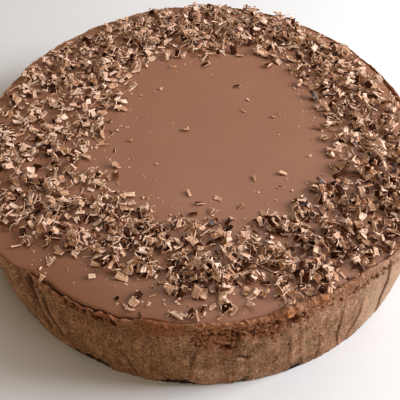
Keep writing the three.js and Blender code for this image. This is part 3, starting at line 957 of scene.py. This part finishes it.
def make_big_flakes():
    """The largest chips, at the same places, sizes and tilts as in the solid."""
    count, length, width = BIG[:3]
    numbers = np.arange(count)
    chips = make_flakes(*BIG)
    chips["length"] = blend(*length, series(numbers, 2))
    chips["width"] = blend(*width, series(numbers, 3))
    chips["roll"] = np.radians(blend(*BIG_ROLL, series(numbers, 5)))
    chips["pitch"] = np.radians(blend(*BIG_PITCH, series(numbers, 7)))
    chips["heading"] = np.radians(360 * series(numbers, 11))
    chips["back_up"] = draw.random(count) < BIG_BACK_UP
    degrees = (numbers * GOLDEN_ANGLE + blend(*BIG_JITTER, series(numbers, 13))) % 360
    within = recess_radius(degrees) - GANACHE_ROUND - BIG_EDGE_MARGIN - chips["length"] / 2
    outer = np.minimum(ring_outer(degrees), within)
    share = (numbers + series(numbers, 17)) / count
    chips["place"] = on_polar(degrees, np.sqrt(blend(ring_inner(degrees) ** 2, outer ** 2, share)))
    return chips


def footprint(kind, item):
    """Steps along and across one flake, and the cells of the heap below them."""
    x, y = kind["place"][item]
    heading = kind["heading"][item]
    chord = kind["length"][item] * np.sinc(kind["turn"][item] / (2 * np.pi))
    spots, rows = (np.linspace(-0.5, 0.5, steps) for steps in FOOTPRINT_STEPS)
    along, over = np.meshgrid(spots * chord, rows * kind["width"][item], indexing="ij")
    columns = np.round((x + along * np.cos(heading) - over * np.sin(heading)) / HEAP_CELL).astype(int)
    rows = np.round((y + along * np.sin(heading) + over * np.cos(heading)) / HEAP_CELL).astype(int)
    return along, over, (rows + HEAP_HALF, columns + HEAP_HALF)


def lay(kind, item, settled):
    """Lays one flake on the heap: tilted as what lies below tilts it, or set in by its low end."""
    along, over, cells = footprint(kind, item)
    under = heap[cells]
    slope = -np.tan(kind["pitch"][item])
    side = np.tan(kind["roll"][item])
    if settled:
        slope = np.clip(slope + np.sum(under * along) / np.sum(along ** 2), -STEEPEST, STEEPEST)
        side = np.clip(side + np.sum(under * over) / np.sum(over ** 2), -STEEPEST, STEEPEST)
        middle = np.quantile(under - slope * along - side * over, RESTING_SHARE)
    else:
        middle = under.mean() - BIG_SINK - np.min(slope * along + side * over)
    kind["rest"][item] = middle, slope, side
    np.maximum.at(heap, cells, middle + slope * along + side * over + kind["thick"][item])


def turn_about(points, axis, angle):
    first, second = [(1, 2), (2, 0), (0, 1)][axis]
    turned = points.copy()
    c, s = np.cos(angle)[:, None], np.sin(angle)[:, None]
    turned[:, :, first] = points[:, :, first] * c - points[:, :, second] * s
    turned[:, :, second] = points[:, :, first] * s + points[:, :, second] * c
    return turned


def stations(steps):
    """Stations from end to end of a strip, with a narrow border at each end of a long one."""
    if steps < 3:
        return np.linspace(-0.5, 0.5, steps + 1)
    return np.concatenate([[-0.5], np.linspace(BORDER - 0.5, 0.5 - BORDER, steps - 1), [0.5]])


def ragged_ends(count, spots, lanes, size):
    """How far each end of a strip is broken off unevenly, which its border follows."""
    near_end = np.clip((np.abs(spots) - 0.25) / 0.25, 0, 1)
    breaks = draw.normal(0, size, (count, 2, lanes + 1))
    return near_end[None, :, None] * breaks[:, (spots > 0).astype(int), :]


def flake_points(kind, steps, lanes, ragged):
    """The corners of bent strips, scraped side first and then back, and where they lie along and across."""
    count = len(kind["length"])
    length, width, thick, turn, twist = (kind[key][:, None, None] for key in
                                         ("length", "width", "thick", "turn", "twist"))
    spots, rows = stations(steps), stations(lanes)
    over = rows[None, None, :] + ragged_ends(count, rows, steps, 0.5 * ragged).transpose(0, 2, 1)
    skew = draw.normal(0, SKEW, (count, 1, 1))
    along = spots[None, :, None] + ragged_ends(count, spots, lanes, ragged) + skew * over
    y = over * width * (1 - TAPER * along * draw.normal(0, 1, (count, 1, 1)))
    at_end = np.abs(spots)[:, None] > 0.49
    at_side = np.abs(rows)[None, :] > 0.49
    half = 0.5 * thick * np.where(at_end | at_side, EDGE_THINNED, 1)
    lift = LANE_LIFT * thick * (np.arange(lanes + 1) % 2) * ~at_end
    bend = turn * along
    sheets = []
    for offset in (half + lift, -half):
        x = (length / turn - offset) * np.sin(bend)
        z = length / turn * (1 - np.cos(bend)) + offset * np.cos(bend)
        angle = 2 * twist * along
        sheets.append(np.stack([x, y * np.cos(angle) - z * np.sin(angle),
                                y * np.sin(angle) + z * np.cos(angle)], axis=-1))
    measure = np.stack([along * length, y], axis=-1)
    return (np.stack(sheets, axis=1).reshape(count, -1, 3),
            np.stack([measure, measure], axis=1).reshape(count, -1, 2))


def strip_faces(steps, lanes):
    """Corners of a strip's faces: the scraped side, the back and the edges."""
    grid = np.arange((steps + 1) * (lanes + 1)).reshape(steps + 1, lanes + 1)
    scraped = np.stack([grid[:-1, :-1], grid[1:, :-1], grid[1:, 1:], grid[:-1, 1:]], axis=-1).reshape(-1, 4)
    rim = np.concatenate([grid[0, :-1], grid[:-1, -1], grid[-1, :0:-1], grid[:0:-1, 0]])
    after = np.roll(rim, -1)
    edges = np.stack([rim, after, after + grid.size, rim + grid.size], axis=-1)
    return np.concatenate([scraped, scraped[:, ::-1] + grid.size, edges])


def scraped_shares(count, steps, lanes):
    """How scraped each face is: the whole of one side, the edges, and some borders of the back."""
    step, lane = np.indices((steps, lanes))
    ends = [step == 0, step == steps - 1] if steps > 2 else []
    sides = [lane == 0, lane == lanes - 1] if lanes > 2 else []
    borders = np.array(ends + sides + [np.zeros_like(step, dtype=bool)])
    bared = draw.random((count, len(borders))) < BARED_BORDERS
    back = (bared[:, :, None, None] & borders[None]).any(axis=1).reshape(count, -1)
    front = np.tile(np.where(borders.any(axis=0), 1, 0.85).ravel(), (count, 1))
    return np.hstack([front, back, np.ones((count, 2 * (steps + lanes)))])


def shape_flakes(name, kind, steps, lanes, ragged):
    """One joined mesh of bent strips, each turned and set where it came to rest."""
    points, measure = flake_points(kind, steps, lanes, ragged)
    count, corners_each = points.shape[:2]
    middle, slope, side = kind["rest"].T
    points = turn_about(points, 0, np.arctan(side) + np.pi * kind["back_up"])
    low = points[:, :, 2].min(axis=1)
    points = turn_about(points, 1, -np.arctan(slope))
    points = turn_about(points, 2, kind["heading"])
    points[:, :, :2] += kind["place"][:, None, :]
    points[:, :, 2] += (middle - RAISED_SHARE * np.minimum(low, 0) + CAKE_HEIGHT)[:, None]
    faces = strip_faces(steps, lanes)
    corners = (faces[None] + corners_each * np.arange(count)[:, None, None]).reshape(-1)
    mesh = bpy.data.meshes.new(name)
    mesh.from_pydata(slump(points.reshape(-1, 3)), [], corners.reshape(-1, 4))
    mesh.shade_flat()
    tones = kind["tone"][:, None] + draw.normal(0, TONE_SPREAD, (count, len(faces)))
    set_shade(mesh, "tone", tones, "FACE")
    set_shade(mesh, "scraped", scraped_shares(count, steps, lanes), "FACE")
    mesh.uv_layers.new(name="shaving").data.foreach_set("uv", measure.reshape(-1, 2)[corners].ravel() / MM)
    piece = bpy.data.objects.new(name, mesh)
    bpy.context.scene.collection.objects.link(piece)
    return piece


def make_scraped():
    """Shaved chocolate: a dark back, a pale face and fine ridges along the way that it was scraped."""
    group, given, end = new_group("scraped", Back=BACK_BROWN, Edge=EDGE_PALE)
    tone = read_shade(group, "tone")
    scraped = read_shade(group, "scraped")
    pale = add_ramp(group, tone, (0, SCRAPED_DARK), (0.35, SCRAPED_TAN), (1, SCRAPED_PALE))
    both = mix_colour(group, scraped, mix_colour(group, tone, BACK_BLACK, given["Back"]), pale)
    edge_share = add_ramp(group, scraped, (0.9, grey(0)), (1, grey(0.25)))
    both = mix_colour(group, edge_share, both, given["Edge"])
    measure = add_node(group, "ShaderNodeUVMap", uv_map="shaving").outputs["UV"]
    height = add_streaks(group, measure, 1, squeeze=(0.2, 1.6, 1))
    ridges = add_ramp(group, height, (0.36, grey(0.62)), (0.64, grey(1.3)))
    feed(group, end, {"Colour": mix_colour(group, 1.0, both, ridges, "MULTIPLY"), "Height": height})
    return group


def chocolate_material(name, roughness, specular):
    material, tree, shader = new_material(name)
    shaving = place_group(tree, scraped_look, Back=BACK_BROWN, Edge=EDGE_PALE)
    ridges = add_bump(tree, shaving["Height"], distance=0.3 * MM, strength=0.4)
    finish_material(tree, shader, shaving["Colour"], ridges, roughness, specular)
    return material


draw = np.random.default_rng(FLAKE_SEED)
wave_heading = draw.uniform(0, 2 * np.pi, CLUMP_WAVES)
wave_number = 2 * np.pi / draw.uniform(*CLUMP_LENGTH, CLUMP_WAVES)
wave_start = draw.uniform(0, 2 * np.pi, CLUMP_WAVES)
wave_x, wave_y = wave_number * np.cos(wave_heading), wave_number * np.sin(wave_heading)
clump_waves = np.column_stack([wave_x, wave_y, wave_start])
centres = (np.arange(2 * HEAP_HALF) - HEAP_HALF) * HEAP_CELL
heap_x, heap_y = np.meshgrid(centres, centres)
heap_degrees, heap_reach = polar(heap_x, heap_y)
on_ganache = heap_reach < recess_radius(heap_degrees)
heap = np.where(on_ganache, -ganache_droop(heap_degrees, heap_reach), rim_rise(heap_degrees))

big = make_big_flakes()
chips = make_flakes(*CHIPS)
loose = np.array(LOOSE)
for key, values in {
    "place": loose[:, :2] * MM,
    "length": loose[:, 2] * MM,
    "width": loose[:, 3] * MM,
    "heading": np.radians(loose[:, 4]),
    "back_up": loose[:, 5] == 1,
    "tone": draw.uniform(*LOOSE_TONE, len(loose)),
    "turn": draw.uniform(*LOOSE_TURN, len(loose)),
}.items():
    chips[key][:len(loose)] = values
curls = make_flakes(*CURLS)
shavings = make_flakes(*SHAVINGS)
splinters = make_flakes(*SPLINTERS)
crumbs = make_flakes(*CRUMBS)

# Crumbs astray on the bare rim side, dust inside the ring, and crumbs gathered beside the loose flakes.
stray = draw.uniform(*STRAYS, STRAY_CRUMBS)
stray_reach = blend(ring_outer(stray), recess_radius(stray) - 2 * EDGE_CLEARANCE, draw.random(STRAY_CRUMBS))
drift = draw.uniform(0, 360, DUST)
drift_reach = np.maximum(ring_inner(drift) - draw.exponential(DUST_DRIFT, DUST), 0)
loose_crumbs = STRAY_CRUMBS + DUST
crumbs["tone"][:loose_crumbs] = draw.uniform(*LOOSE_CRUMB_TONE, loose_crumbs)
bare_flakes = loose[loose[:, 1] < BARE_FRONT, :2] * MM
beside = bare_flakes[draw.integers(0, len(bare_flakes), GATHERED)]
beside = beside + draw.normal(0, GATHERED_SPREAD, (GATHERED, 2))
beside_turn, beside_reach = polar(*beside.T)
beside_reach = np.minimum(beside_reach, recess_radius(beside_turn) - 2 * EDGE_CLEARANCE)
off_ring = np.concatenate([stray, drift, beside_turn])
off_reach = np.concatenate([stray_reach, drift_reach, beside_reach])
crumbs["place"][:len(off_ring)] = on_polar(off_ring, off_reach)
crumbs["back_up"][:len(off_ring)] = False
for size in ("length", "width", "thick"):
    crumbs[size][:loose_crumbs] *= LOOSE_CRUMB_SCALE

# The big flakes are set in first, the rest fall on them in any order, and the crumbs come last.
for item in range(len(big["length"])):
    lay(big, item, False)
queue = [(kind, item) for kind in (chips, curls, shavings, splinters) for item in range(len(kind["length"]))]
for place in draw.permutation(len(queue)):
    lay(*queue[place], True)
for item in range(len(crumbs["length"])):
    lay(crumbs, item, True)

scraped_look = make_scraped()
shaved = chocolate_material("shaved_chocolate", roughness=0.55, specular=0.07)
snapped = chocolate_material("snapped_chocolate", roughness=0.42, specular=0.15)
for name, kind, steps, lanes, ragged, material in [
    ("flakes_big", big, 5, 4, 0.05, snapped),
    ("flakes_chips", chips, 4, 4, 0.06, shaved),
    ("flakes_curls", curls, 8, 2, 0.05, shaved),
    ("flakes_shavings", shavings, 3, 2, 0.08, shaved),
    ("flakes_splinters", splinters, 3, 1, 0.04, shaved),
    ("flakes_crumbs", crumbs, 1, 1, 0.15, shaved),
]:
    piece = shape_flakes(name, kind, steps, lanes, ragged)
    piece.data.materials.append(material)
    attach(piece, "root")

# Stage
# A plain pale floor under soft studio light: a cool key at the right and warmer fills in front, above
# and at the left. The camera looks down on the cake from the front.
FLOOR_SIZE = 6
FLOOR_GREY = (0.72, 0.71, 0.7, 1)
CAMERA_PLACE = (-1.4 * MM, -224.9 * MM, 272.7 * MM)
CAMERA_DOWN = 51.63
CAMERA_LENS = 54
# Name, place and size in metres, power in watts and colour of each light.
LIGHTS = [
    ("key", (0.88, 0.06, 0.52), 0.42, 16.6, (0.95, 1, 1.09)),
    ("fill", (0.7, -0.6, 0.45), 0.6, 2, (1, 0.88, 0.74)),
    ("overhead", (0.1, 0.45, 1), 0.9, 4.2, (1, 0.93, 0.84)),
    ("warm_fill", (-0.95, -1.15, 0.38), 0.7, 4.8, (1, 0.77, 0.45)),
]
ROOM_WARM = (1, 0.75, 0.55, 1)
ROOM_STRENGTH = 0.11

bpy.ops.object.select_all(action="DESELECT")
bpy.ops.mesh.primitive_plane_add(size=FLOOR_SIZE)
floor = bpy.context.active_object
floor.name = "floor"
floor_material, tree, shader = new_material("pale_floor")
feed(tree, shader, {"Base Color": FLOOR_GREY, "Roughness": 0.85})
floor.data.materials.append(floor_material)
for name, place, size, power, colour in LIGHTS:
    bpy.ops.object.light_add(type="AREA", location=place)
    light = bpy.context.active_object
    light.name = name
    light.data.size = size
    light.data.energy = power
    light.data.color = colour
    aim = light.location.copy()
    aim.z -= CAKE_HEIGHT
    light.rotation_euler = aim.to_track_quat("Z", "Y").to_euler()
world = bpy.data.worlds.new("studio")
world.use_nodes = True
background = world.node_tree.nodes["Background"]
feed(world.node_tree, background, {"Color": ROOM_WARM, "Strength": ROOM_STRENGTH})
bpy.context.scene.world = world
bpy.context.scene.view_settings.view_transform = "Standard"
bpy.ops.object.camera_add(location=CAMERA_PLACE, rotation=(math.radians(90 - CAMERA_DOWN), 0, 0))
camera = bpy.context.active_object
camera.data.lens = CAMERA_LENS
camera.data.clip_start = 0.01
bpy.context.scene.camera = camera
